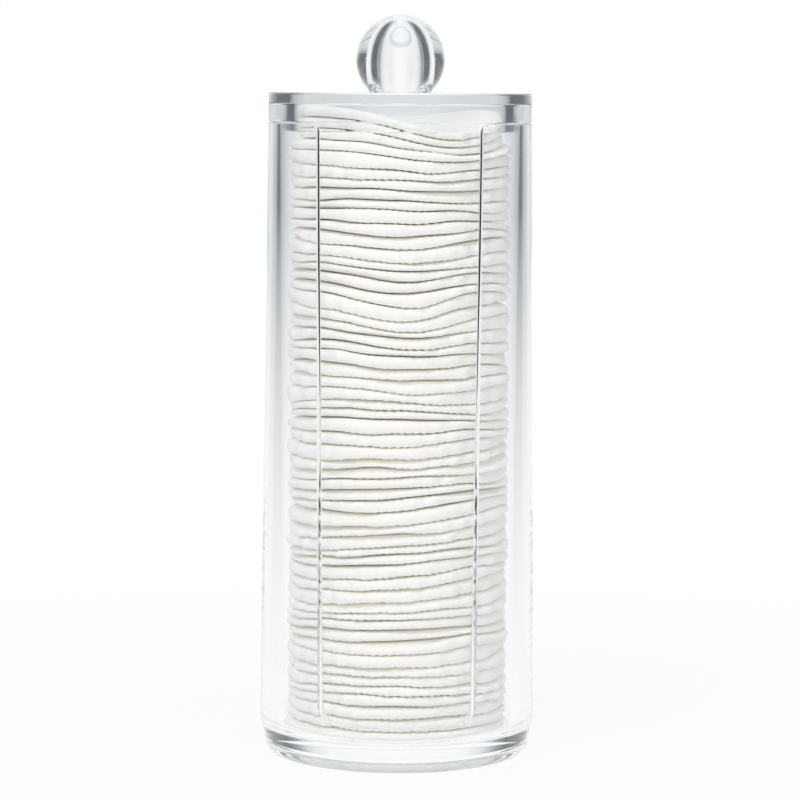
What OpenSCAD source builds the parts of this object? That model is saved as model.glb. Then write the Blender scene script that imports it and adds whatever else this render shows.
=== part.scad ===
// Clear round dispenser for cotton pads: a drafted container with an open front slot,
// a plug-fit lid with a ball knob, and the stack of pads that it holds.
// Millimetres, +Z up, slot towards -Y, origin at the middle of the underside.

/* [Cotton pads] */
// Diameter of one pad
pad_d = 57; // [50:0.5:70]
// Height that one pad takes in the stack
pad_pitch = 2.81; // [2.4:0.01:4]
// Number of pads in the stack
pad_count = 57; // [20:1:57]
// Thickness of the crimped rim of a pad
pad_rim_t = 0.7; // [0.4:0.05:1]
// Width of the crimped border that thins down to the rim
pad_border_w = 5.6; // [3:0.1:9]
// Air left between one pad and the next
pad_air = 0.1; // [0.05:0.05:0.3]
// How far a pad may lie off the axis
pad_stray = 0.6; // [0:0.1:1]
// How far a pad's rim may curl up or down by itself
pad_curl = 0.15; // [0:0.05:0.25]
// Sides of a pad's outline
pad_sides = 20; // [16:2:24]

/* [Waves of the stack] */
// Rise to the right in the lower third
lean_h = 2.4; // [0:0.1:3]
// Depth of the dip above the middle
dip_h = 1.5; // [0:0.1:2]
// Height of the hump at the middle
hump_h = 1; // [0:0.1:1.5]
// Arch of the topmost pads inside the lid
arch_h = 1.6; // [0.2:0.1:2]
// How far the rims of several pads sway up or down together
sway_h = 0.8; // [0:0.05:1]

/* [Container] */
// Air between the pads and the bore at the floor
bore_air = 1.8; // [1:0.1:4]
// Draft of the bore: extra radius at the rim
bore_draft = 0.8; // [0.2:0.1:2]
// Wall at the rim
rim_wall = 2.9; // [2:0.1:5]
// Draft of the outside: extra radius at the parting line
outer_draft = 2; // [0.5:0.1:3]
// Height of the parting line
parting_z = 8.6; // [6:0.1:12]
// Rounding of the rim's outer corner
rim_round = 1; // [0.3:0.1:1.5]
// Thickness of the floor
floor_t = 4.5; // [3:0.1:8]
// Fillet between the floor and the bore
floor_fillet = 2.6; // [1:0.1:3.5]

/* [Foot] */
// Depth of the recess under the floor
recess_h = 2.2; // [1:0.1:3]
// Width of the foot ring at the surface it stands on
foot_w = 4; // [3:0.1:8]
// How far the recess narrows from its mouth to its top
recess_draft = 1; // [0.2:0.1:2]
// How far the outside steps in from the parting line to the crease
crease_in = 1.1; // [0.2:0.1:2]
// Height of the crease
crease_z = 4; // [2.5:0.1:5]
// How far the rounded heel steps in from the crease to the underside
heel_in = 1.6; // [1:0.1:3]

/* [Slot] */
// Width of the slot at the rim
slot_w_top = 40.2; // [30:0.2:46]
// Width of the slot at its lower edge
slot_w_bottom = 37.4; // [28:0.2:44]
// Height of the lip between the floor and the slot
lip_h = 5.5; // [3:0.1:12]
// Radius of the slot's lower corners
slot_corner_r = 3; // [1:0.1:6]
// Radius of the two convex corners where the slot meets the rim
slot_flare_r = 2.2; // [0.5:0.1:2.6]

/* [Lid] */
// Thickness of the top plate
plate_t = 2.6; // [2:0.1:4]
// Height of the skirt between the container's rim and the plate
skirt_h = 4.9; // [3:0.1:10]
// Depth of the plug below the rim
plug_h = 2.4; // [1.5:0.1:6]
// Wall of the plug ring
plug_wall = 3.3; // [2:0.1:4]
// Clearance between the plug and the bore
plug_clearance = 0.35; // [0.3:0.05:0.8]
// Gap between the skirt and the rim that it rests on
seat_gap = 0.1; // [0.05:0.05:0.3]
// Air between the topmost pads and the inside of the lid
lid_air = 0.4; // [0.3:0.1:1.5]

/* [Knob] */
// Diameter of the ball
ball_d = 23; // [18:0.5:32]
// Diameter of the bonded foot of the ball
ball_foot_d = 16; // [10:0.5:17]
// Height of the bonded foot
ball_foot_h = 0.4; // [0.3:0.1:2]
// Width of the foot round the hole that is cored into the ball from below
core_wall = 2; // [1:0.1:3]
// Wall of the ball over the top of the hole
core_cover = 3.2; // [2:0.1:5]
// How far below the middle of the ball the hole's dome starts
core_drop = 1; // [0:0.1:3]

/* [Hidden] */
$fn = 96;
arc_steps = 6;
dome_steps = 12;
over = 1;

pad_r = pad_d / 2;
border_r = pad_r - pad_stray - pad_border_w;

floor_z = recess_h + floor_t;
bore_floor_r = pad_r + bore_air;
bore_rim_r = bore_floor_r + bore_draft;
rim_r = bore_rim_r + rim_wall;
parting_r = rim_r + outer_draft;
crease_r = parting_r - crease_in;
heel_r = crease_r - heel_in;

stack_z = floor_z + pad_air / 2;
stack_top_z = stack_z + pad_count * pad_pitch + arch_h;
plate_z = stack_top_z + lid_air;
skirt_z = plate_z - skirt_h;
rim_z = skirt_z - seat_gap;
plug_z = rim_z - plug_h;
lid_top_z = plate_z + plate_t;
slot_z = floor_z + lip_h;

ball_r = ball_d / 2;
ball_foot_r = ball_foot_d / 2;
ball_z = lid_top_z + ball_foot_h + sqrt(pow(ball_r, 2) - pow(ball_foot_r, 2));
core_r = ball_foot_r - core_wall;
dome_z = ball_z - core_drop;
dome_h = ball_r + core_drop - core_cover;

plug_r = bore_rim_r - plug_clearance;
plug_bore_r = plug_r - plug_wall;
squeezed_r = min(plug_bore_r - lid_air, pad_r);

// Where the waves sit in the stack and how far each reaches, as shares of its height
lean_share = 0.32;
lean_reach = 0.17;
dip_share = 0.7;
dip_reach = 0.1;
hump_share = 0.55;
hump_reach = 0.07;
arch_reach = 0.09;
settle_reach = 0.05;
// Pads in one sway of the rims, up and down
sway_count = 6.3;
// Steps of two even, never repeating sequences, which scatter the pads
scatter_ratio_a = 0.618034;
scatter_ratio_b = 0.754878;

acrylic = [0.84, 0.9, 0.93, 0.45];
cotton = [0.97, 0.97, 0.96];

function pad_name(i) = str("pad_", i < 9 ? "0" : "", i + 1);

// Points of an arc about c with radius r, from angle a to angle b
function arc(c, r, a, b) =
    [for (k = [0:arc_steps]) c + r * [cos(a + (b - a) * k / arc_steps), sin(a + (b - a) * k / arc_steps)]];

// Bell curve of height 1 about a middle, falling away over its reach
function bell(u, middle, reach) = exp(-pow((u - middle) / reach, 2));

// Even scatter between -1 and 1: a number for pad i in sequence step
function scatter(i, step) = 2 * (i * step - floor(i * step)) - 1;

// Height of the stack's waves at share u of its height, at p in pad radii
function wave(u, p) = (1 - bell(u, 0, settle_reach)) * (
    lean_h * bell(u, lean_share, lean_reach) * p.x
    - dip_h * bell(u, dip_share, dip_reach) * cos(230 * p.x + 40 * p.y + 25)
    + hump_h * bell(u, hump_share, hump_reach) * cos(150 * p.x - 50 * p.y + 20)
    - arch_h * bell(u, 1, arch_reach) * sin(170 * p.x + 60 * p.y + 46)
);

// Height of the seam under pad i at point p
function seam_z(i, p) = stack_z + i * pad_pitch + wave(i / pad_count, p / pad_r);

// The topmost pads, which reach up between the plug ring, are squeezed into it
function squeezed(i) = stack_z + (i + 1) * pad_pitch + arch_h > plug_z - lid_air;
function pad_radius(i) = squeezed(i) ? squeezed_r : pad_r;
function pad_centre(i) = squeezed(i) ? [0, 0]
    : pad_stray * [scatter(i, scatter_ratio_a), scatter(i, scatter_ratio_b)] / sqrt(2);

// How freely the rim of pad i moves: not at all against the floor or the lid
function freedom(i) =
    (1 - bell(i / pad_count, 0, settle_reach)) * (1 - bell((i + 1) / pad_count, 1, settle_reach));

// How far the rim of pad i sways with its neighbours, at corner angle a
function sway(i, a) = sway_h * sin(360 * i / sway_count + 70 * sin(a + 40) + 50 * cos(2 * a));

// How far the rim of pad i curls by itself, at corner angle a
function curl(i, a) = pad_curl * sin(2 * a + 180 * scatter(i, scatter_ratio_b));

// Middle height of the rim of pad i at point p, at corner angle a
function rim_mid_z(i, p, a) =
    (seam_z(i, p) + seam_z(i + 1, p)) / 2 + freedom(i) * (sway(i, a) + curl(i, a));

function side_angle(k) = 360 * k / pad_sides;
function on_circle(k, r) = r * [cos(side_angle(k)), sin(side_angle(k))];
function lifted(p, z) = [p.x, p.y, z];

// A ring of seam points where the border starts, on the lower or upper face of pad i
function border_ring(i, offset) =
    [for (k = [0:pad_sides - 1])
        let (p = on_circle(k, border_r))
        lifted(p, seam_z(i, p) + offset)];

// A ring of rim points of pad i, half the rim's thickness above or below its middle
function rim_ring(i, side) =
    [for (k = [0:pad_sides - 1])
        let (p = pad_centre(i) + on_circle(k, pad_radius(i)))
        lifted(p, rim_mid_z(i, p, side_angle(k)) + side * pad_rim_t / 2)];

// Rings run from the upper face over the rim to the lower face, between two centre points
function pad_points(i) = concat(
    [lifted([0, 0], seam_z(i + 1, [0, 0]) - pad_air / 2)],
    border_ring(i + 1, -pad_air / 2),
    rim_ring(i, 1),
    rim_ring(i, -1),
    border_ring(i, pad_air / 2),
    [lifted([0, 0], seam_z(i, [0, 0]) + pad_air / 2)]
);

pad_rings = 4;
last_point = pad_rings * pad_sides + 1;
function ring_point(ring, k) = 1 + ring * pad_sides + k % pad_sides;

pad_faces = concat(
    [for (k = [0:pad_sides - 1]) [0, ring_point(0, k + 1), ring_point(0, k)]],
    [for (ring = [0:pad_rings - 2], k = [0:pad_sides - 1])
        each [[ring_point(ring, k), ring_point(ring + 1, k + 1), ring_point(ring + 1, k)],
              [ring_point(ring, k), ring_point(ring, k + 1), ring_point(ring + 1, k + 1)]]],
    [for (k = [0:pad_sides - 1])
        [last_point, ring_point(pad_rings - 1, k), ring_point(pad_rings - 1, k + 1)]]
);

module pad(i) {
    color(cotton) polyhedron(points = pad_points(i), faces = pad_faces);
}

// Half section of the container, from the recess over the heel and the rim to the floor
container_section = concat(
    [[0, recess_h], [heel_r - foot_w - recess_draft, recess_h], [heel_r - foot_w, 0]],
    [for (k = [0:arc_steps])
        [heel_r + heel_in * sin(90 * k / arc_steps), crease_z * (1 - cos(90 * k / arc_steps))]],
    [[parting_r, parting_z]],
    arc([rim_r - rim_round, rim_z - rim_round], rim_round, 0, 90),
    [[bore_rim_r, rim_z]],
    arc([bore_floor_r - floor_fillet, floor_z + floor_fillet], floor_fillet, 0, -90),
    [[0, floor_z]]
);

// Right half of the slot's outline, from its lower edge to above the rim
slot_half = concat(
    arc([slot_w_bottom / 2 - slot_corner_r, slot_z + slot_corner_r], slot_corner_r, -90, 0),
    arc([slot_w_top / 2 + slot_flare_r, rim_z - slot_flare_r], slot_flare_r, 180, 90),
    [[slot_w_top / 2 + slot_flare_r, rim_z + over]]
);

module slot() {
    mirrored = [for (k = [len(slot_half) - 1:-1:0]) [-slot_half[k].x, slot_half[k].y]];
    rotate([90, 0, 0]) linear_extrude(height = parting_r + over) polygon(concat(slot_half, mirrored));
}

module container() {
    color(acrylic) difference() {
        rotate_extrude() polygon(container_section);
        slot();
    }
}

module lid() {
    color(acrylic) difference() {
        union() {
            translate([0, 0, skirt_z]) cylinder(r = rim_r, h = lid_top_z - skirt_z);
            translate([0, 0, plug_z]) cylinder(r = plug_r, h = skirt_z - plug_z + over);
        }
        translate([0, 0, plug_z - over]) cylinder(r = plug_bore_r, h = plate_z - plug_z + over);
    }
}

// The ball ends where it is as wide as its foot
module ball() {
    difference() {
        translate([0, 0, ball_z]) sphere(r = ball_r);
        translate([0, 0, lid_top_z + ball_foot_h - ball_d]) cylinder(r = ball_r, h = ball_d);
    }
    translate([0, 0, lid_top_z]) cylinder(r = ball_foot_r, h = ball_foot_h);
}

// Half section of the hole in the ball: straight from the foot up to its elliptical dome
core_section = concat(
    [[0, lid_top_z - over], [core_r, lid_top_z - over]],
    [for (k = [0:dome_steps]) [core_r * cos(90 * k / dome_steps), dome_z + dome_h * sin(90 * k / dome_steps)]]
);

module knob() {
    color(acrylic) difference() {
        ball();
        rotate_extrude() polygon(core_section);
    }
}

container();
lid();
knob();
for (i = [0:pad_count - 1]) pad(i);
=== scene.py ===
"""Looks of the cotton pad dispenser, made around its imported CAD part.

The clear container, the plug-fit lid, its ball knob and the cotton pads are surfaces on grids,
dressed with procedural finishes and shown on a white table before a white backdrop.
Sizes in the classes are millimetres; a mesh gets its metres as it is built.
The slot faces -Y and +Z is up. An angle about the axis starts at -Y and grows towards +X.
"""

import logging
import math
from dataclasses import dataclass
from enum import Enum, IntEnum
from typing import Callable

import bmesh
import bpy
import numpy as np
from bpy.types import Material, Node, NodeSocket as Socket, NodeTree, Object
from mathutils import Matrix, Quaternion, Vector


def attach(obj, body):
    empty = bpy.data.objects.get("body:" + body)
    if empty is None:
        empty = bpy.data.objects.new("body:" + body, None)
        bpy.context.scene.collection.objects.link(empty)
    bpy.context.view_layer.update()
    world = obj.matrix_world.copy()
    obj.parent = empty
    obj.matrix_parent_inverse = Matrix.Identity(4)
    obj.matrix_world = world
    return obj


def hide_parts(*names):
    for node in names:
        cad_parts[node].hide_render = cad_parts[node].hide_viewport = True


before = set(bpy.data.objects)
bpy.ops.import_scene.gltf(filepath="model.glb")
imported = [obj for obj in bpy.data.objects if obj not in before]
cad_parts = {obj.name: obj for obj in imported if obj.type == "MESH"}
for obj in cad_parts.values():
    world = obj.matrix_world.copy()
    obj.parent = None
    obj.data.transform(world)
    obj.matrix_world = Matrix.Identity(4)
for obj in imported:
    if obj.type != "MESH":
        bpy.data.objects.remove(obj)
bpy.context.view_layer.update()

MM = 0.001
WELD_M = 2e-6
log = logging.getLogger("scene")

#: The radius of a skin at each height
RadiusOf = Callable[[np.ndarray], np.ndarray]
#: Angles in degrees, each with a brightness
Stops = tuple[tuple[float, float], ...]


class Body(Enum):
    """The CAD bodies that the pieces ride on."""

    CONTAINER = "container_and_pads"
    LID = "lid_and_knob"


class Slot(Enum):
    """The record's material slots."""

    PLASTIC = "clear_plastic"
    COTTON = "cotton"


class Seed(IntEnum):
    """What the random phases of each kind of wave start from."""

    WANDER = 0
    OUTLINE = 100
    CRIMP = 200
    GAP = 300


# Surfaces


class Shell:
    """Grids of points that are welded into one closed, smooth mesh."""

    def __init__(self) -> None:
        """Starts with no grid."""
        self._points: list[np.ndarray] = []
        self._quads: list[np.ndarray] = []
        self._count = 0

    def add(self, grid: np.ndarray) -> None:
        """Adds a grid as quads between neighbouring points.

        Args:
            grid: Points in millimetres, rows by columns by three.
        """
        rows, columns = grid.shape[:2]
        index = self._count + np.arange(rows * columns).reshape(rows, columns)
        corners = (index[:-1, :-1], index[:-1, 1:], index[1:, 1:], index[1:, :-1])
        self._quads.append(np.stack(corners, axis=-1).reshape(-1, 4))
        self._points.append(grid.reshape(-1, 3))
        self._count += rows * columns

    def add_both_sides(self, grid: np.ndarray) -> None:
        """Adds a grid and its mirror image across the plane x = 0."""
        self.add(grid)
        self.add(grid * (-1, 1, 1))

    def build(self, name: str) -> Object:
        """Welds the grids, turns the normals outwards and smooths the shading.

        Args:
            name: Name of the new object.

        Returns:
            The object, linked to the scene at the origin.
        """
        mesh = bpy.data.meshes.new(name)
        points = np.concatenate(self._points) * MM
        mesh.from_pydata(points.tolist(), [], np.concatenate(self._quads).tolist())
        welded = bmesh.new()
        welded.from_mesh(mesh)
        bmesh.ops.remove_doubles(welded, verts=welded.verts, dist=WELD_M)
        bmesh.ops.recalc_face_normals(welded, faces=welded.faces)
        welded.to_mesh(mesh)
        welded.free()
        mesh.shade_smooth()
        piece = bpy.data.objects.new(name, mesh)
        bpy.context.scene.collection.objects.link(piece)
        return piece


def on_cone(angle: np.ndarray, z: np.ndarray, radius: np.ndarray) -> np.ndarray:
    """Points about the axis: (r sin a, -r cos a, z).

    Args:
        angle: Angles in radians.
        z: Heights.
        radius: Distances from the axis.

    Returns:
        The points, with a last axis of three.
    """
    angle, z, radius = np.broadcast_arrays(angle, z, radius)
    return np.stack([radius * np.sin(angle), -radius * np.cos(angle), z], axis=-1)


def revolved(profile: np.ndarray, angles: np.ndarray) -> np.ndarray:
    """A profile turned about the axis.

    Args:
        profile: Radii and heights, n by two.
        angles: Angles in radians.

    Returns:
        A grid with a row for each profile point and a column for each angle.
    """
    return on_cone(angles[None, :], profile[:, 1:2], profile[:, 0:1])


def bezier(start: np.ndarray, corner: np.ndarray, end: np.ndarray, steps: int) -> np.ndarray:
    """Quadratic Bezier curves: (1-t)^2 start + 2t(1-t) corner + t^2 end.

    Args:
        start: First points.
        corner: Points that the curves bend towards.
        end: Last points.
        steps: Number of steps along each curve.

    Returns:
        An array whose first axis runs along the curves.
    """
    t = np.linspace(0, 1, steps + 1).reshape(-1, *([1] * start.ndim))
    return (1 - t) ** 2 * start + 2 * t * (1 - t) * corner + t**2 * end


def rounded(corners: list[tuple[float, float, float]], steps: int = 6) -> np.ndarray:
    """An outline with its corners rounded, and a guard point beside each rounding.

    The guard points keep the smooth shading of the flats between the roundings flat.

    Args:
        corners: Radius, height and size of rounding of each corner.
        steps: Steps of each rounding.

    Returns:
        Radii and heights, n by two.
    """
    at = np.array(corners, float)
    spots, sizes = at[:, :2], at[:, 2]
    guard = 0.25
    parts = [spots[:1]]
    for before, spot, after, size in zip(spots[:-2], spots[1:-1], spots[2:], sizes[1:-1]):
        if size == 0:
            parts.append(spot[None])
            continue
        back = (before - spot) / np.linalg.norm(before - spot)
        on = (after - spot) / np.linalg.norm(after - spot)
        curve = bezier(spot + size * back, spot, spot + size * on, steps)
        parts += [(spot + (size + guard) * back)[None], curve, (spot + (size + guard) * on)[None]]
    parts.append(spots[-1:])
    return np.concatenate(parts)


def arc(centre: tuple[float, float], radius: float, first: float, last: float, steps: int) -> np.ndarray:
    """Points of an arc: centre + radius (cos a, sin a).

    Args:
        centre: Middle of the arc.
        radius: Its radius.
        first: First angle in degrees.
        last: Last angle in degrees.
        steps: Number of steps.

    Returns:
        The points, n by two.
    """
    a = np.radians(np.linspace(first, last, steps + 1))
    return np.array(centre) + radius * np.stack([np.cos(a), np.sin(a)], axis=-1)


def coons(
    bottom: np.ndarray, top: np.ndarray, left: np.ndarray, right: np.ndarray, u: np.ndarray, v: np.ndarray
) -> np.ndarray:
    """A four-sided patch: the blend of bottom and top plus that of left and right, less the corners'.

    Args:
        bottom: Side where v is 0, n by two.
        top: Side where v is 1, n by two.
        left: Side where u is 0, m by two.
        right: Side where u is 1, m by two.
        u: Shares along bottom and top.
        v: Shares along left and right.

    Returns:
        The patch, m by n by two.
    """
    u, v = u[None, :, None], v[:, None, None]
    upright = (1 - v) * bottom[None] + v * top[None]
    level = (1 - u) * left[:, None] + u * right[:, None]
    corners = (1 - v) * ((1 - u) * bottom[0] + u * bottom[-1]) + v * ((1 - u) * top[0] + u * top[-1])
    return upright + level - corners


# Finishes


class Graph:
    """A node tree that is filled node by node."""

    def __init__(self, tree: NodeTree) -> None:
        """Takes a tree and empties it."""
        self.tree = tree
        tree.nodes.clear()

    def node(self, kind: str, inputs: dict | None = None, **settings: object) -> Node:
        """Adds a node.

        Args:
            kind: The node's type name.
            inputs: A value, or a socket to link from, for each named or numbered input.
            **settings: The node's own settings.

        Returns:
            The node.
        """
        node = self.tree.nodes.new(kind)
        for name, value in settings.items():
            setattr(node, name, value)
        for name, value in (inputs or {}).items():
            if isinstance(value, Socket):
                self.tree.links.new(value, node.inputs[name])
            else:
                node.inputs[name].default_value = value
        return node

    def noise(self, where: Socket, scale: float, detail: float = 2) -> Socket:
        """Adds a noise texture and returns its value socket."""
        made = self.node("ShaderNodeTexNoise", {"Vector": where, "Scale": scale, "Detail": detail})
        return made.outputs["Fac"]

    def between(self, value: Socket, low: float, high: float) -> Socket:
        """Maps a share from 0 to 1 onto low to high and returns the socket."""
        made = self.node("ShaderNodeMapRange", {"Value": value, "To Min": low, "To Max": high})
        return made.outputs["Result"]

    def largest(self, a: Socket, b: Socket) -> Socket:
        """Returns the socket of the larger of two values."""
        return self.node("ShaderNodeMath", {0: a, 1: b}, operation="MAXIMUM").outputs[0]


def new_material(name: str) -> tuple[Material, Graph]:
    """Makes an empty node material.

    Args:
        name: The material's name.

    Returns:
        The material and the graph of its nodes.
    """
    material = bpy.data.materials.new(name)
    material.use_nodes = True
    return material, Graph(material.node_tree)


@dataclass(frozen=True)
class ClearPlastic:
    """Clear moulded styrene: glossy, with the faint waves and haze of moulding."""

    ior: float = 1.49
    tint: tuple[float, float, float] = (0.99, 0.995, 1.0)
    shadow_tint: tuple[float, float, float] = (0.97, 0.98, 0.985)
    haze: tuple[float, float] = (0.0, 0.02)
    wave_scale: float = 60.0
    wave_height: float = 0.00001

    def material(self) -> Material:
        """Makes the plastic, which lets light fall straight through it onto the pads.

        Returns:
            The material.
        """
        material, graph = new_material("clear plastic")
        where = graph.node("ShaderNodeTexCoord").outputs["Object"]
        waves = graph.noise(where, self.wave_scale)
        bump = graph.node(
            "ShaderNodeBump", {"Height": waves, "Strength": 1.0, "Distance": self.wave_height}
        )
        plastic = graph.node(
            "ShaderNodeBsdfPrincipled",
            {
                "Base Color": (*self.tint, 1),
                "Roughness": graph.between(graph.noise(where, 4 * self.wave_scale), *self.haze),
                "IOR": self.ior,
                "Transmission Weight": 1.0,
                "Normal": bump.outputs["Normal"],
            },
        )
        path = graph.node("ShaderNodeLightPath").outputs
        clear = graph.node("ShaderNodeBsdfTransparent", {"Color": (*self.shadow_tint, 1)})
        lit = graph.node(
            "ShaderNodeMixShader",
            {
                "Fac": graph.largest(path["Is Shadow Ray"], path["Is Diffuse Ray"]),
                1: plastic.outputs["BSDF"],
                2: clear.outputs["BSDF"],
            },
        )
        graph.node("ShaderNodeOutputMaterial", {"Surface": lit.outputs["Shader"]})
        return material


@dataclass(frozen=True)
class CottonWool:
    """Soft white cotton with an embossed face, loose fibres and a cream tone in its depth."""

    color: tuple[float, float, float] = (0.975, 0.97, 0.95)
    shade: tuple[float, float, float] = (0.965, 0.955, 0.92)
    cloud_scale: float = 260.0
    fibre_scale: float = 2600.0
    emboss_scale: float = 620.0
    emboss_height: float = 0.00025
    fibre_height: float = 0.00012
    emboss_strength: float = 0.6
    fibre_strength: float = 0.7
    roughness: float = 0.95
    specular: float = 0.2
    sheen: float = 0.15
    sheen_roughness: float = 0.5

    def material(self) -> Material:
        """Makes the cotton: clouds of two tones, embossed cells and fibres.

        Returns:
            The material.
        """
        material, graph = new_material("cotton")
        where = graph.node("ShaderNodeTexCoord").outputs["Object"]
        color = graph.node(
            "ShaderNodeMix",
            {
                "Factor": graph.noise(where, self.cloud_scale, 4),
                "A": (*self.color, 1),
                "B": (*self.shade, 1),
            },
            data_type="RGBA",
        )
        cells = graph.node(
            "ShaderNodeTexVoronoi", {"Vector": where, "Scale": self.emboss_scale}, feature="SMOOTH_F1"
        )
        emboss = graph.node(
            "ShaderNodeBump",
            {
                "Height": cells.outputs["Distance"],
                "Strength": self.emboss_strength,
                "Distance": self.emboss_height,
            },
        )
        fibres = graph.node(
            "ShaderNodeBump",
            {
                "Height": graph.noise(where, self.fibre_scale, 3),
                "Strength": self.fibre_strength,
                "Distance": self.fibre_height,
                "Normal": emboss.outputs["Normal"],
            },
        )
        cotton = graph.node(
            "ShaderNodeBsdfPrincipled",
            {
                "Base Color": color.outputs["Result"],
                "Roughness": self.roughness,
                "Specular IOR Level": self.specular,
                "Sheen Weight": self.sheen,
                "Sheen Roughness": self.sheen_roughness,
                "Normal": fibres.outputs["Normal"],
            },
        )
        graph.node("ShaderNodeOutputMaterial", {"Surface": cotton.outputs["BSDF"]})
        return material


def dress(piece: Object, material: Material, body: Body) -> None:
    """Gives a piece its material, and lets it ride on its body in place of its CAD node.

    Args:
        piece: The piece, named after its CAD node and "_look".
        material: Its finish.
        body: The CAD body that it moves with.
    """
    piece.data.materials.append(material)
    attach(piece, body.value)
    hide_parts(piece.name.removesuffix("_look"))
    log.info("%s: %d faces", piece.name, len(piece.data.polygons))


# Container


@dataclass(frozen=True)
class Boundary:
    """The wall's upper edge on the +X side, from the middle of the slot's sill to the back of the rim."""

    outer_angle: np.ndarray
    inner_angle: np.ndarray
    z: np.ndarray
    corner: int
    flare: int


@dataclass
class Container:
    """The round container: a drafted wall with an open slot, a floor, a heel and a foot ring."""

    rim_z: float = 163.92
    rim_r: float = 34.0
    bore_rim_r: float = 31.1
    bore_floor_r: float = 30.3
    parting_r: float = 36.0
    parting_z: float = 8.6
    crease_r: float = 34.9
    crease_z: float = 4.0
    heel_r: float = 33.3
    foot_r: float = 29.3
    recess_r: float = 28.3
    recess_z: float = 2.2
    floor_z: float = 6.7
    fillet: float = 2.6
    slot_z: float = 12.2
    slot_half_bottom: float = 18.7
    slot_half_top: float = 20.1
    corner_r: float = 3.0
    flare_r: float = 2.2
    edge_round: float = 0.35
    edge_strip: float = 0.85
    crease_round: float = 0.3
    foot_round: float = 0.4
    recess_round: float = 0.5
    guard: float = 0.4
    join_z: float = 9.8
    draft_end: float = 1.0
    round_steps: int = 6
    sill_steps: int = 14
    arc_steps: int = 12
    edge_steps: int = 36
    rim_steps: int = 96
    lower_rows: int = 3

    def outer_radius(self, z: np.ndarray) -> np.ndarray:
        """Radius of the outside at a height: a straight cone between the parting line and the rim."""
        return np.interp(z, (self.parting_z, self.rim_z - self.draft_end), (self.parting_r, self.rim_r))

    def inner_radius(self, z: np.ndarray) -> np.ndarray:
        """Radius of the bore at a height: a straight cone between the floor's fillet and the rim."""
        return np.interp(z, (self.floor_z + self.fillet, self.rim_z), (self.bore_floor_r, self.bore_rim_r))

    def boundary(self) -> Boundary:
        """Walks along the wall's upper edge.

        In the slot, which is cut straight through along Y, both skins share x, so that the angle
        is asin(x / r). Along the rim both angles run evenly to the back.

        Returns:
            The edge's angles and heights, with the places of the two arcs' middles.
        """
        sill = np.stack(
            [
                np.linspace(0, self.slot_half_bottom - self.corner_r, self.sill_steps, endpoint=False),
                np.full(self.sill_steps, self.slot_z),
            ],
            axis=-1,
        )
        corner = arc(
            (self.slot_half_bottom - self.corner_r, self.slot_z + self.corner_r),
            self.corner_r, -90, 0, self.arc_steps,
        )
        flare = arc(
            (self.slot_half_top + self.flare_r, self.rim_z - self.flare_r),
            self.flare_r, 180, 90, self.arc_steps,
        )
        edge = np.linspace(corner[-1], flare[0], self.edge_steps + 1)[1:-1]
        x, z = np.concatenate([sill, corner, edge, flare]).T
        t = np.linspace(0, 1, self.rim_steps + 1)[1:]
        outer = np.arcsin(x / self.outer_radius(z))
        inner = np.arcsin(x / self.inner_radius(z))
        return Boundary(
            np.concatenate([outer, outer[-1] + (np.pi - outer[-1]) * t]),
            np.concatenate([inner, inner[-1] + (np.pi - inner[-1]) * t]),
            np.concatenate([z, np.full(self.rim_steps, self.rim_z)]),
            self.sill_steps + self.arc_steps // 2,
            self.sill_steps + self.arc_steps + self.edge_steps + self.arc_steps // 2,
        )

    @staticmethod
    def strip(angle: np.ndarray, z: np.ndarray, radius: RadiusOf, depth: float) -> np.ndarray:
        """Moves the edge into a skin, at right angles to itself in the unrolled skin.

        Args:
            angle: The edge's angles.
            z: Its heights.
            radius: The skin's radius at a height.
            depth: How far to move.

        Returns:
            Angles and heights, n by two.
        """
        r = radius(z)
        along, up = np.gradient(angle) * r, np.gradient(z)
        length = np.hypot(along, up)
        return np.stack([angle + depth * up / length / r, z - depth * along / length], axis=-1)

    @staticmethod
    def skin(points: np.ndarray, radius: RadiusOf) -> np.ndarray:
        """Puts angles and heights onto a skin."""
        return on_cone(points[..., 0], points[..., 1], radius(points[..., 1]))

    def bead(self, edge: Boundary) -> np.ndarray:
        """The rounded edge: a strip of the outside, a rounding, the flat across the wall and back.

        Args:
            edge: The wall's upper edge.

        Returns:
            A grid with a row for each point across the wall and a column for each along the edge.
        """
        sides = []
        for angle, radius in ((edge.outer_angle, self.outer_radius), (edge.inner_angle, self.inner_radius)):
            sides.append(
                (
                    on_cone(angle, edge.z, radius(edge.z)),
                    self.skin(self.strip(angle, edge.z, radius, self.edge_round), radius),
                    self.skin(self.strip(angle, edge.z, radius, self.edge_strip), radius),
                )
            )
        (outer, outer_near, outer_far), (inner, inner_near, inner_far) = sides
        across = (inner - outer) / np.linalg.norm(inner - outer, axis=-1, keepdims=True)
        start, end = outer + self.edge_round * across, inner - self.edge_round * across
        flat = start + np.linspace(0, 1, self.round_steps + 1)[1:-1, None, None] * (end - start)
        return np.concatenate(
            [
                outer_far[None],
                bezier(outer_near, outer, start, self.round_steps),
                flat,
                bezier(end, inner, inner_near, self.round_steps),
                inner_far[None],
            ]
        )

    def patches(self, angle: np.ndarray, edge: Boundary, radius: RadiusOf) -> tuple[list, np.ndarray]:
        """Fills a skin between the rounded edge and the join with the lower part.

        One patch lies under the sill and one takes in the rest up to the back.

        Args:
            angle: The skin's angles along the edge.
            edge: The wall's upper edge.
            radius: The skin's radius at a height.

        Returns:
            The grids of points, and the angles of the join's points.
        """
        near = self.strip(angle, edge.z, radius, self.edge_strip)
        split, turn = near[edge.corner], edge.flare
        rows = np.linspace(0, 1, self.lower_rows + 1)

        def upright(a: float, top: float) -> np.ndarray:
            return np.stack([np.full(len(rows), a), self.join_z + rows * (top - self.join_z)], axis=-1)

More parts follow.
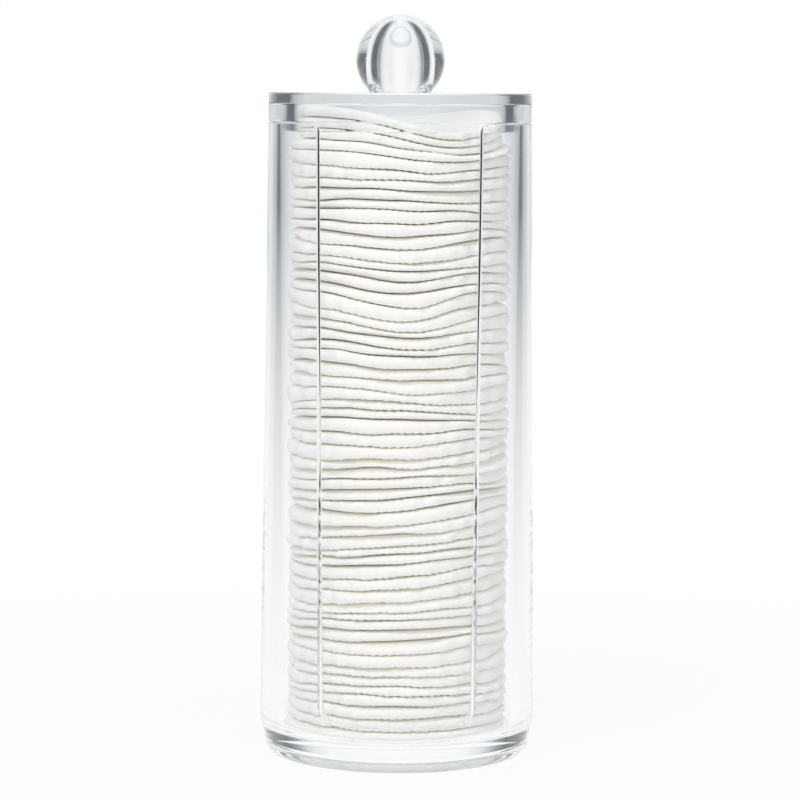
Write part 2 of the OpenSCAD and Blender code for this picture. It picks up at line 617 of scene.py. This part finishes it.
        sill = near[: edge.corner + 1]
        u = sill[:, 0] / split[0]
        foot = np.stack([u * split[0], np.full(len(u), self.join_z)], axis=-1)
        lower = coons(foot, sill, upright(0, sill[0, 1]), upright(*split), u, rows)

        rim = near[turn:]
        left = np.concatenate([upright(*split)[:-1], near[edge.corner : turn + 1]])
        v = (left[:, 1] - self.join_z) / (left[-1, 1] - self.join_z)
        right = np.stack([np.full(len(v), np.pi), self.join_z + v * (rim[-1, 1] - self.join_z)], axis=-1)
        u = (rim[:, 0] - rim[0, 0]) / (np.pi - rim[0, 0])
        base = np.stack([split[0] + u * (np.pi - split[0]), np.full(len(u), self.join_z)], axis=-1)
        side = coons(base, rim, left, right, u, v)
        angles = np.concatenate([foot[:-1, 0], base[:, 0]])
        return [self.skin(lower, radius), self.skin(side, radius)], angles

    def outer_profile(self) -> np.ndarray:
        """Outside below the join: the parting line, the crease, the heel, the foot ring and the recess.

        Returns:
            Radii and heights, n by two.
        """
        heel = np.radians(np.linspace(90, 0, 12))[1:]
        heel_in = self.crease_r - self.heel_r
        curve = [
            (self.heel_r + heel_in * math.sin(a), self.crease_z * (1 - math.cos(a)), 0.0) for a in heel
        ]
        return rounded(
            [
                (float(self.outer_radius(self.join_z)), self.join_z, 0),
                (self.parting_r, self.parting_z, self.crease_round),
                (self.crease_r, self.crease_z, self.crease_round),
                *curve,
                (self.foot_r, 0, self.foot_round),
                (self.recess_r, self.recess_z, self.recess_round),
                (self.recess_r / 2, self.recess_z, 0),
                (0, self.recess_z, 0),
            ]
        )

    def inner_profile(self) -> np.ndarray:
        """Bore below the join, the fillet and the floor.

        Returns:
            Radii and heights, n by two.
        """
        fillet = arc(
            (self.bore_floor_r - self.fillet, self.floor_z + self.fillet), self.fillet, 0, -90, 14
        )
        floor = [(r, self.floor_z) for r in (fillet[-1, 0] - self.guard, self.bore_floor_r / 2, 0)]
        top = [(float(self.inner_radius(self.join_z)), self.join_z)]
        return np.concatenate([top, fillet, floor])

    def build(self, plastic: Material) -> Object:
        """Builds and dresses the container.

        Args:
            plastic: Its material.

        Returns:
            The piece.
        """
        shell, edge = Shell(), self.boundary()
        shell.add_both_sides(self.bead(edge))
        skins = (
            (edge.outer_angle, self.outer_radius, self.outer_profile()),
            (edge.inner_angle, self.inner_radius, self.inner_profile()),
        )
        for angle, radius, profile in skins:
            grids, angles = self.patches(angle, edge, radius)
            for grid in [*grids, revolved(profile, angles)]:
                shell.add_both_sides(grid)
        piece = shell.build("container_look")
        dress(piece, plastic, Body.CONTAINER)
        return piece


# Lid and knob


@dataclass
class Lid:
    """The lid: a top plate, a skirt as wide as the container's rim and a plug ring."""

    top_z: float = 171.52
    plate_z: float = 168.92
    skirt_z: float = 164.02
    plug_z: float = 161.52
    rim_r: float = 34.0
    plug_r: float = 30.75
    bore_r: float = 27.45
    skirt_round: float = 0.35
    step_round: float = 0.2
    plug_round: float = 0.5
    bore_round: float = 0.4
    segments: int = 240

    def profile(self) -> np.ndarray:
        """Section from the middle of the top over the skirt and the plug to the middle of the underside.

        Returns:
            Radii and heights, n by two.
        """
        return rounded(
            [
                (0, self.top_z, 0),
                (self.rim_r / 2, self.top_z, 0),
                (self.rim_r, self.top_z, self.skirt_round),
                (self.rim_r, self.skirt_z, self.skirt_round),
                (self.plug_r, self.skirt_z, self.step_round),
                (self.plug_r, self.plug_z, self.plug_round),
                (self.bore_r, self.plug_z, self.bore_round),
                (self.bore_r, self.plate_z, self.bore_round),
                (self.bore_r / 2, self.plate_z, 0),
                (0, self.plate_z, 0),
            ]
        )

    def build(self, plastic: Material) -> Object:
        """Builds and dresses the lid.

        Args:
            plastic: Its material.

        Returns:
            The piece.
        """
        shell = Shell()
        shell.add(revolved(self.profile(), np.linspace(0, 2 * np.pi, self.segments + 1)))
        piece = shell.build("lid_look")
        dress(piece, plastic, Body.LID)
        return piece


@dataclass
class Knob:
    """The ball knob, cored from below, with its foot a hair above the lid so that no faces coincide."""

    ball_r: float = 11.5
    foot_r: float = 8.0
    foot_h: float = 0.4
    core_r: float = 6.0
    core_drop: float = 1.0
    core_cover: float = 3.2
    lid_z: float = 171.52
    bond: float = 0.03
    foot_round: float = 0.1
    core_round: float = 0.15
    segments: int = 144
    rows: int = 72

    def profile(self) -> np.ndarray:
        """Section from the top of the ball down to its foot and up the hole to its elliptical dome.

        Returns:
            Radii and heights, n by two.
        """
        centre_z = self.lid_z + self.foot_h + math.sqrt(self.ball_r**2 - self.foot_r**2)
        low = -math.degrees(math.acos(self.foot_r / self.ball_r))
        ball = arc((0, centre_z), self.ball_r, 90, low, self.rows)
        foot = rounded(
            [
                (self.foot_r, self.lid_z + self.foot_h, 0),
                (self.foot_r, self.lid_z + self.bond, self.foot_round),
                (self.core_r, self.lid_z + self.bond, self.core_round),
                (self.core_r, centre_z - self.core_drop, 0),
            ]
        )
        dome_h = self.ball_r + self.core_drop - self.core_cover
        dome = arc((0, 0), 1, 0, 90, self.rows // 2) * (self.core_r, dome_h) + (0, centre_z - self.core_drop)
        return np.concatenate([ball, foot[1:], dome[1:]])

    def build(self, plastic: Material) -> Object:
        """Builds and dresses the knob.

        Args:
            plastic: Its material.

        Returns:
            The piece.
        """
        shell = Shell()
        shell.add(revolved(self.profile(), np.linspace(0, 2 * np.pi, self.segments + 1)))
        piece = shell.build("knob_look")
        dress(piece, plastic, Body.LID)
        return piece


# Pads


def bell(u: np.ndarray, middle: float, reach: float) -> np.ndarray:
    """Bell curve of height 1 about a middle, falling away over its reach."""
    return np.exp(-(((u - middle) / reach) ** 2))


def sin_deg(a: np.ndarray) -> np.ndarray:
    """Sine of an angle in degrees."""
    return np.sin(np.radians(a))


def cos_deg(a: np.ndarray) -> np.ndarray:
    """Cosine of an angle in degrees."""
    return np.cos(np.radians(a))


def scatter(index: int, step: float) -> float:
    """Even scatter between -1 and 1: a number for a pad in a never repeating sequence."""
    return 2 * ((index * step) % 1) - 1


def ripple(seed: int, angle: np.ndarray, first: int, last: int, fall: float = 0.5) -> np.ndarray:
    """Irregular waves round a circle: a sum of whole waves with random phases.

    Args:
        seed: Picks the phases.
        angle: Angles in radians.
        first: Fewest waves in a turn.
        last: Most waves in a turn.
        fall: How fast the height falls with the number of waves.

    Returns:
        Heights of about -1 to 1.
    """
    rng = np.random.default_rng(seed)
    count = np.arange(first, last + 1)
    height = rng.uniform(0.4, 1, count.shape) / count**fall
    phase = rng.uniform(0, 2 * np.pi, count.shape)
    waves = np.sin(angle[..., None] * count + phase) @ height
    return waves / (1.5 * np.sqrt((height**2).sum()))


@dataclass
class PadStack:
    """The stack of cotton pads, each with embossed faces and a soft crimped rim.

    Neighbours share a seam, so that no pad cuts into the next. Towards the rim the seams sway
    together and lie unevenly, and they open to gaps here and there, which leaves the rims between
    them as ruffled teeth.
    """

    count: int = 57
    pitch: float = 2.81
    pad_r: float = 28.5
    border_r: float = 22.3
    squeezed_r: float = 27.05
    air: float = 0.1
    stray: float = 0.6
    stack_z: float = 6.75
    plug_z: float = 161.52
    lid_air: float = 0.4
    #: Each wave's height, where it sits and how far it reaches, the last two as shares of the stack
    lean: tuple[float, float, float] = (2.4, 0.32, 0.17)
    dip: tuple[float, float, float] = (1.5, 0.7, 0.1)
    hump: tuple[float, float, float] = (1.0, 0.55, 0.07)
    arch: tuple[float, float, float] = (1.6, 1.0, 0.09)
    #: Each wave's phase in degrees: per pad radius across, per pad radius along, and at the axis
    dip_phase: tuple[float, float, float] = (230, 40, 25)
    hump_phase: tuple[float, float, float] = (150, -50, 20)
    arch_phase: tuple[float, float, float] = (170, 60, 46)
    settle_reach: float = 0.05
    sway_h: float = 0.8
    sway_count: float = 6.3
    #: How far the sway's phase bends once a turn, from which angle, and twice a turn, in degrees
    sway_bend: tuple[float, float, float] = (70, 40, 50)
    scatter_steps: tuple[float, float] = (0.618034, 0.754878)
    sag_h: float = 3.4
    sagging: int = 6
    sag_at: tuple[float, float] = (0.45, -0.8)
    sag_reach: float = 0.75
    uneven: float = 0.4
    wander: float = 0.4
    rim_power: float = 4.0
    gap_h: float = 0.7
    gap_share: float = 0.25
    gap_scatter: float = 0.35
    gap_waves: float = 0.55
    gap_lean: float = 0.5
    gap_side_deg: float = 215.0
    least_rim_t: float = 0.6
    puff: float = 2.6
    bulge: float = 1.2
    ragged: float = 0.5
    crimps: int = 92
    crimp_h: float = 0.24
    crimp_wander: float = 3.0
    sectors: int = 276
    inner_rings: tuple[float, ...] = (0.0, 12.0, 19.0)
    border_steps: int = 5
    edge_steps: int = 10

    @staticmethod
    def swell(wave: tuple[float, float, float], u: float) -> float:
        """Height of a wave at a share of the stack's height."""
        height, middle, reach = wave
        return height * float(bell(u, middle, reach))

    @staticmethod
    def turned(turns: tuple[float, float, float], x: np.ndarray, y: np.ndarray) -> np.ndarray:
        """Phase of a wave in degrees at a place that is given in pad radii."""
        across, along, start = turns
        return across * x + along * y + start

    def wave(self, u: float, x: np.ndarray, y: np.ndarray) -> np.ndarray:
        """Height of the stack's waves, as the CAD part has them.

        Args:
            u: Share of the stack's height.
            x: Place across, in pad radii.
            y: Place along, in pad radii.

        Returns:
            Heights: the lean, the dip, the hump and the arch, each over its own reach.
        """
        lean = self.swell(self.lean, u) * x
        dip = self.swell(self.dip, u) * cos_deg(self.turned(self.dip_phase, x, y))
        hump = self.swell(self.hump, u) * cos_deg(self.turned(self.hump_phase, x, y))
        arch = self.swell(self.arch, u) * sin_deg(self.turned(self.arch_phase, x, y))
        return (1 - bell(u, 0, self.settle_reach)) * (lean - dip + hump - arch)

    def looseness(self, index: int) -> float:
        """How freely a seam moves at the rim: not at all against the floor or the lid."""
        u = index / self.count
        return float((1 - bell(u, 0, self.settle_reach)) * (1 - bell(u, 1, self.settle_reach)))

    def sag(self, index: int, x: np.ndarray, y: np.ndarray) -> np.ndarray:
        """How far a seam sags at the front on the right, which lets the top pad's face show.

        Args:
            index: The pad above the seam. Only the topmost seams sag.
            x: Places across.
            y: Places along.

        Returns:
            Depths.
        """
        depth = max(0, index + self.sagging - self.count) / self.sagging
        apart = np.hypot(x / self.pad_r - self.sag_at[0], y / self.pad_r - self.sag_at[1])
        return self.sag_h * depth * bell(apart, 0, self.sag_reach)

    def seam(self, index: int, x: np.ndarray, y: np.ndarray) -> np.ndarray:
        """Height of the seam under a pad.

        The seams are evenly spaced and follow the stack's waves. What moves the rims, which is the
        CAD part's sway, a scatter from seam to seam and waves round the rim, grows as a power of the
        distance from the axis. The topmost ones sag.

        Args:
            index: The pad above the seam.
            x: Places across.
            y: Places along.

        Returns:
            Heights.
        """
        angle = np.arctan2(y, x)
        a = np.degrees(angle)
        phase = 360 * (index - 0.5) / self.sway_count
        once, start, twice = self.sway_bend
        sway = self.sway_h * sin_deg(phase + once * sin_deg(a + start) + twice * cos_deg(2 * a))
        uneven = self.uneven * scatter(index, self.scatter_steps[0])
        wander = self.wander * ripple(index + Seed.WANDER, angle, 2, 11)
        moved = self.looseness(index) * (sway + uneven + wander)
        level = self.stack_z + index * self.pitch - self.sag(index, x, y)
        waves = self.wave(index / self.count, x / self.pad_r, y / self.pad_r)
        return level + waves + moved * (np.hypot(x, y) / self.pad_r) ** self.rim_power

    def opening(self, index: int, angle: np.ndarray) -> np.ndarray:
        """Half the gap that a seam opens to at the rim.

        A seam opens as the square of a sum, where that is above 0: a share, a scatter from seam to
        seam, waves round the rim, and the lean, which opens the left side. Crimps widen it a little.

        Args:
            index: The pad above the seam.
            angle: Angles from +X in radians.

        Returns:
            The half gap at each angle.
        """
        leaning = self.swell((1.0, *self.lean[1:]), index / self.count)
        left = np.cos(angle - np.radians(self.gap_side_deg)) * leaning
        chance = (
            self.gap_share
            + self.gap_scatter * scatter(index, self.scatter_steps[1])
            + self.gap_waves * ripple(index + Seed.GAP, angle, 1, 6)
            + self.gap_lean * left
        )
        uneven = self.crimp_wander * ripple(index + Seed.CRIMP, angle, 2, 9)
        crimp = 0.5 + 0.5 * np.sin(self.crimps * angle + uneven)
        return self.gap_h * np.clip(chance, 0, 1) ** 2 + self.crimp_h * crimp

    def squeezed(self, index: int) -> bool:
        """Whether a pad reaches up between the lid's plug ring."""
        return self.stack_z + (index + 1) * self.pitch + self.arch[0] > self.plug_z - self.lid_air

    def grid(self, index: int) -> np.ndarray:
        """Surface of a pad: rings from the middle of its top over its rim to the middle of its underside.

        A face follows its seam. Across the border it draws back from the seam by the opening times
        a power of the share of the way, which leaves the border puffed up. The rim between the two
        faces is half an ellipse, and its outline is ragged.

        Args:
            index: The pad, counted from 0 at the bottom.

        Returns:
            A grid with a row for each ring and a column for each sector.
        """
        angle = np.linspace(0, 2 * np.pi, self.sectors + 1)
        tight = self.squeezed(index)
        stray = 0.0 if tight else self.stray / math.sqrt(2)
        centre = [stray * scatter(index, step) for step in self.scatter_steps]
        full_r = (self.squeezed_r if tight else self.pad_r) - self.bulge
        outline = ripple(index + Seed.OUTLINE, angle, 3, 40, 0.2)
        radius = full_r + self.ragged * (outline - float(tight))

        share = np.linspace(0, 1, self.border_steps + 1)[:, None] ** 0.7
        inner = np.array(self.inner_rings)[:, None] * np.ones_like(angle)
        reach = np.concatenate([inner, self.border_r + share * (radius - self.border_r)])
        fall = np.concatenate([np.zeros((len(inner), 1)), share]) ** self.puff
        x = reach * np.cos(angle) + centre[0] * reach / self.pad_r
        y = reach * np.sin(angle) + centre[1] * reach / self.pad_r

        low = self.seam(index, x, y) + self.air / 2
        high = self.seam(index + 1, x, y) - self.air / 2
        below, above = self.opening(index, angle), self.opening(index + 1, angle)
        kept = np.clip((high[-1] - low[-1] - self.least_rim_t) / (below + above), 0, 1)
        top, under = high - above * kept * fall, low + below * kept * fall

        turn = np.radians(np.linspace(90, -90, self.edge_steps + 1))[1:-1, None]
        middle, half = (top[-1] + under[-1]) / 2, (top[-1] - under[-1]) / 2
        edge = np.stack(
            [
                x[-1] + self.bulge * np.cos(turn) * np.cos(angle),
                y[-1] + self.bulge * np.cos(turn) * np.sin(angle),
                middle + half * np.sin(turn),
            ],
            axis=-1,
        )
        upper, lower = np.stack([x, y, top], axis=-1), np.stack([x, y, under], axis=-1)
        return np.concatenate([upper, edge, lower[::-1]])

    def build(self, cotton: Material) -> list[Object]:
        """Builds and dresses the pads, from the bottom to the top.

        Args:
            cotton: Their material.

        Returns:
            The pieces.
        """
        pieces = []
        for index in range(self.count):
            shell = Shell()
            shell.add(self.grid(index))
            piece = shell.build(f"pad_{index + 1:02d}_look")
            dress(piece, cotton, Body.CONTAINER)
            pieces.append(piece)
        return pieces


# Stage


@dataclass(frozen=True)
class Lamp:
    """A large square lamp: its name, its place and width in metres, and its power in watts."""

    name: str
    place: tuple[float, float, float]
    width: float
    watts: float

    def build(self, aim: tuple[float, float, float]) -> None:
        """Adds the lamp, which gives light and isn't seen itself.

        Args:
            aim: The place that it looks at, in metres.
        """
        light = bpy.data.lights.new(self.name, "AREA")
        light.shape, light.size, light.energy = "SQUARE", self.width, self.watts
        lamp = bpy.data.objects.new(self.name, light)
        lamp.location = self.place
        lamp.rotation_mode = "QUATERNION"
        lamp.rotation_quaternion = (Vector(aim) - Vector(self.place)).to_track_quat("-Z", "Y")
        lamp.visible_camera = lamp.visible_transmission = lamp.visible_glossy = False
        bpy.context.scene.collection.objects.link(lamp)


@dataclass
class Stage:
    """The white table and surroundings, the lamps, the camera, and the room that clear pieces show."""

    table_m: float = 6.0
    table_grey: float = 0.9
    slate: tuple[float, float, float] = (0.115, 0.13, 0.14)
    shadow_share: float = 0.12
    shadow_reach: tuple[float, float] = (0.08, 0.3)
    #: Distance from the object at which the table is as dim as the room beyond it, in metres
    table_fade_m: float = 2.1
    camera_back_m: float = 0.785
    camera_up_m: float = 0.171
    camera_right_m: float = 0.0004
    lens_mm: float = 135.9
    pitch_deg: float = 5.767
    roll_deg: float = 0.35
    sensor_mm: float = 36.0
    clip_m: tuple[float, float] = (0.05, 50.0)
    bounces: int = 48
    clear_bounces: int = 32
    diffuse_bounces: int = 16
    straight_bounces: int = 24
    sky: float = 0.55
    aim_m: tuple[float, float, float] = (0.0, 0.0, 0.1)
    lamps: tuple[Lamp, ...] = (
        Lamp("key", (-0.45, -0.9, 1.1), 0.7, 6.5),
        Lamp("fill", (0.8, -1.1, 0.5), 0.8, 2.0),
        Lamp("top", (0.0, 0.1, 1.5), 1.0, 4.0),
    )
    #: The room by angle from the Y axis: below eye level, at it, above it, and high up
    low_room: Stops = (
        (0, 0.95), (14, 0.9), (25, 0.65), (34, 0.5), (38, 0.16), (52, 0.13), (66, 0.4), (76, 0.8), (90, 0.95),
    )
    horizon: Stops = ((0, 0.74), (32, 0.7), (40, 0.5), (44, 0.12), (70, 0.12), (78, 0.4), (90, 0.74))
    level_room: Stops = (
        (0, 0.97), (20, 0.93), (28, 0.75), (35, 0.3), (41, 0.12), (68, 0.12), (77, 0.5), (90, 0.92),
    )
    high_room: Stops = ((0, 0.97), (30, 0.85), (45, 0.6), (60, 0.5), (75, 0.7), (90, 0.95))
    #: Upward shares of a direction between which one part of the room gives way to the next
    horizon_fade: tuple[float, float] = (0.003, 0.014)
    high_fade: tuple[float, float] = (0.35, 0.8)

    def level(self, brightness: float) -> tuple[float, float, float, float]:
        """A grey that leans to the room's slate tone as it gets darker.

        Args:
            brightness: How bright it is, up to 1.

        Returns:
            The colour with its alpha.
        """
        lowest = sum(self.slate) / 3
        white = min(1.0, max(0.0, (brightness - lowest) / (1 - lowest)))
        return (*(brightness * (white + (1 - white) * c / lowest) for c in self.slate), 1.0)

    def ramp(self, graph: Graph, azimuth: Socket, stops: Stops) -> Socket:
        """Maps an angle from the Y axis onto the greys of a part of the room.

        Args:
            graph: The graph to add to.
            azimuth: Angles as shares of a right angle.
            stops: Angles in degrees and their brightness.

        Returns:
            The socket of the colour.
        """
        ramp = graph.node("ShaderNodeValToRGB", {"Fac": azimuth})
        elements = ramp.color_ramp.elements
        while len(elements) < len(stops):
            elements.new(0.5)
        for element, (angle, brightness) in zip(elements, stops):
            element.position = angle / 90
            element.color = self.level(brightness)
        return ramp.outputs["Color"]

    @staticmethod
    def azimuth(graph: Graph, where: Socket) -> Socket:
        """The angle of a place or direction from the Y axis: atan(|x| / |y|).

        Args:
            graph: The graph to add to.
            where: Socket of the place or direction.

        Returns:
            The socket of the angle as a share of a right angle.
        """
        parts = graph.node("ShaderNodeSeparateXYZ", {"Vector": where}).outputs
        x = graph.node("ShaderNodeMath", {0: parts["X"]}, operation="ABSOLUTE").outputs[0]
        y = graph.node("ShaderNodeMath", {0: parts["Y"]}, operation="ABSOLUTE").outputs[0]
        turn = graph.node("ShaderNodeMath", {0: x, 1: y}, operation="ARCTAN2").outputs[0]
        return graph.node("ShaderNodeMath", {0: turn, 1: 2 / math.pi}, operation="MULTIPLY").outputs[0]

    @staticmethod
    def mixed(graph: Graph, share: Socket, first: object, second: object) -> Socket:
        """Mixes two colours, the second by the share, and returns the socket."""
        made = graph.node("ShaderNodeMix", {"Factor": share, "A": first, "B": second}, data_type="RGBA")
        return made.outputs["Result"]

    @staticmethod
    def share_between(graph: Graph, value: Socket, span: tuple[float, float]) -> Socket:
        """How far a value lies along a span.

        Args:
            graph: The graph to add to.
            value: Socket of the value.
            span: Start and end of the span.

        Returns:
            The socket of the share, which eases in and out.
        """
        made = graph.node(
            "ShaderNodeMapRange",
            {"Value": value, "From Min": span[0], "From Max": span[1]},
            interpolation_type="SMOOTHSTEP",
        )
        return made.outputs["Result"]

    def table_material(self) -> Material:
        """Makes the table white to the camera but for the object's shadow.

        Where clear pieces show it, it gets as dim as the room with its distance from the object.

        Returns:
            The material.
        """
        material, graph = new_material("white table")
        path = graph.node("ShaderNodeLightPath").outputs
        clear = graph.largest(path["Is Glossy Ray"], path["Is Transmission Ray"])
        where = graph.node("ShaderNodeTexCoord").outputs["Object"]
        apart = graph.node("ShaderNodeVectorMath", {0: where}, operation="LENGTH").outputs["Value"]
        white = (1.0, 1.0, 1.0, 1.0)
        far = graph.node(
            "ShaderNodeMath", {0: apart, 1: self.table_fade_m}, operation="DIVIDE", use_clamp=True
        ).outputs[0]
        room = self.ramp(graph, self.azimuth(graph, where), self.low_room)
        dimmer = self.mixed(graph, far, white, room)
        light = self.mixed(graph, clear, white, dimmer)
        plain = graph.node("ShaderNodeBsdfDiffuse", {"Color": (*[self.table_grey] * 3, 1)})
        bright = graph.node("ShaderNodeEmission", {"Color": light, "Strength": 1.0})
        seen = graph.largest(path["Is Camera Ray"], clear)
        lit = graph.node(
            "ShaderNodeMapRange",
            {
                "Value": apart,
                "From Min": self.shadow_reach[0],
                "From Max": self.shadow_reach[1],
                "To Min": 1 - self.shadow_share,
                "To Max": 1.0,
            },
        )
        share = graph.node("ShaderNodeMath", {0: seen, 1: lit.outputs["Result"]}, operation="MULTIPLY")
        surface = graph.node(
            "ShaderNodeMixShader",
            {"Fac": share.outputs[0], 1: plain.outputs["BSDF"], 2: bright.outputs["Emission"]},
        )
        graph.node("ShaderNodeOutputMaterial", {"Surface": surface.outputs["Shader"]})
        return material

    def table(self) -> None:
        """Adds the flat square table that the object stands on."""
        half = self.table_m / 2
        mesh = bpy.data.meshes.new("table")
        corners = [(-half, -half, 0), (half, -half, 0), (half, half, 0), (-half, half, 0)]
        mesh.from_pydata(corners, [], [(0, 1, 2, 3)])
        mesh.materials.append(self.table_material())
        table = bpy.data.objects.new("table", mesh)
        bpy.context.scene.collection.objects.link(table)

    def room(self, graph: Graph) -> Socket:
        """What clear pieces show of the room.

        It is white in front and behind, with dark screens between and a dim strip at eye level.
        Each part of it goes by the angle from the Y axis, and the height of a direction picks the
        part.

        Args:
            graph: The world's graph.

        Returns:
            The socket of the colour.
        """
        where = graph.node("ShaderNodeTexCoord").outputs["Generated"]
        azimuth = self.azimuth(graph, where)
        height = graph.node("ShaderNodeSeparateXYZ", {"Vector": where}).outputs["Z"]
        off_level = graph.node("ShaderNodeMath", {0: height}, operation="ABSOLUTE").outputs[0]
        above = graph.node("ShaderNodeMath", {0: height, 1: 0.0}, operation="GREATER_THAN").outputs[0]
        low, horizon, level, high = (
            self.ramp(graph, azimuth, stops)
            for stops in (self.low_room, self.horizon, self.level_room, self.high_room)
        )
        upper = self.mixed(graph, self.share_between(graph, height, self.high_fade), level, high)
        whole = self.mixed(graph, above, low, upper)
        return self.mixed(graph, self.share_between(graph, off_level, self.horizon_fade), horizon, whole)

    def world(self) -> None:
        """Lights softly from all round, is white to the camera, and is the room in clear pieces."""
        world = bpy.data.worlds.new("room")
        world.use_nodes = True
        graph = Graph(world.node_tree)
        path = graph.node("ShaderNodeLightPath").outputs
        soft = graph.node("ShaderNodeBackground", {"Color": (1, 1, 1, 1), "Strength": self.sky})
        room = graph.node("ShaderNodeBackground", {"Color": self.room(graph), "Strength": 1.0})
        white = graph.node("ShaderNodeBackground", {"Color": (1, 1, 1, 1), "Strength": 1.0})
        clear = graph.largest(path["Is Glossy Ray"], path["Is Transmission Ray"])
        inside = graph.node("ShaderNodeMixShader", {"Fac": clear, 1: soft.outputs[0], 2: room.outputs[0]})
        shown = graph.node(
            "ShaderNodeMixShader",
            {"Fac": path["Is Camera Ray"], 1: inside.outputs[0], 2: white.outputs[0]},
        )
        graph.node("ShaderNodeOutputWorld", {"Surface": shown.outputs[0]})
        bpy.context.scene.world = world

    def camera(self) -> None:
        """Places the camera at the photograph's viewing angle, tilted down and a little rolled."""
        data = bpy.data.cameras.new("camera")
        data.lens, data.sensor_width = self.lens_mm, self.sensor_mm
        data.clip_start, data.clip_end = self.clip_m
        camera = bpy.data.objects.new("camera", data)
        camera.location = (self.camera_right_m, -self.camera_back_m, self.camera_up_m)
        pitch = math.radians(self.pitch_deg)
        ahead = Vector((0, math.cos(pitch), -math.sin(pitch)))
        camera.rotation_mode = "QUATERNION"
        roll = Quaternion((0, 0, 1), math.radians(self.roll_deg))
        camera.rotation_quaternion = ahead.to_track_quat("-Z", "Y") @ roll
        bpy.context.scene.collection.objects.link(camera)
        bpy.context.scene.camera = camera

    def build(self) -> None:
        """Sets everything up round the object, with bounces enough for the stacked clear walls."""
        self.table()
        self.world()
        for lamp in self.lamps:
            lamp.build(self.aim_m)
        self.camera()
        scene = bpy.context.scene
        scene.view_settings.view_transform = "Standard"
        cycles = scene.cycles
        cycles.max_bounces = self.bounces
        cycles.transmission_bounces = cycles.glossy_bounces = self.clear_bounces
        cycles.diffuse_bounces = self.diffuse_bounces
        cycles.transparent_max_bounces = self.straight_bounces
        cycles.caustics_reflective = cycles.caustics_refractive = False


def main() -> None:
    """Builds the pieces and the stage in order."""
    logging.basicConfig(level=logging.INFO, format="%(message)s")
    plastic, cotton = ClearPlastic().material(), CottonWool().material()
    Container().build(plastic)
    Lid().build(plastic)
    Knob().build(plastic)
    PadStack().build(cotton)
    Stage().build()


if __name__ == "__main__":
    main()
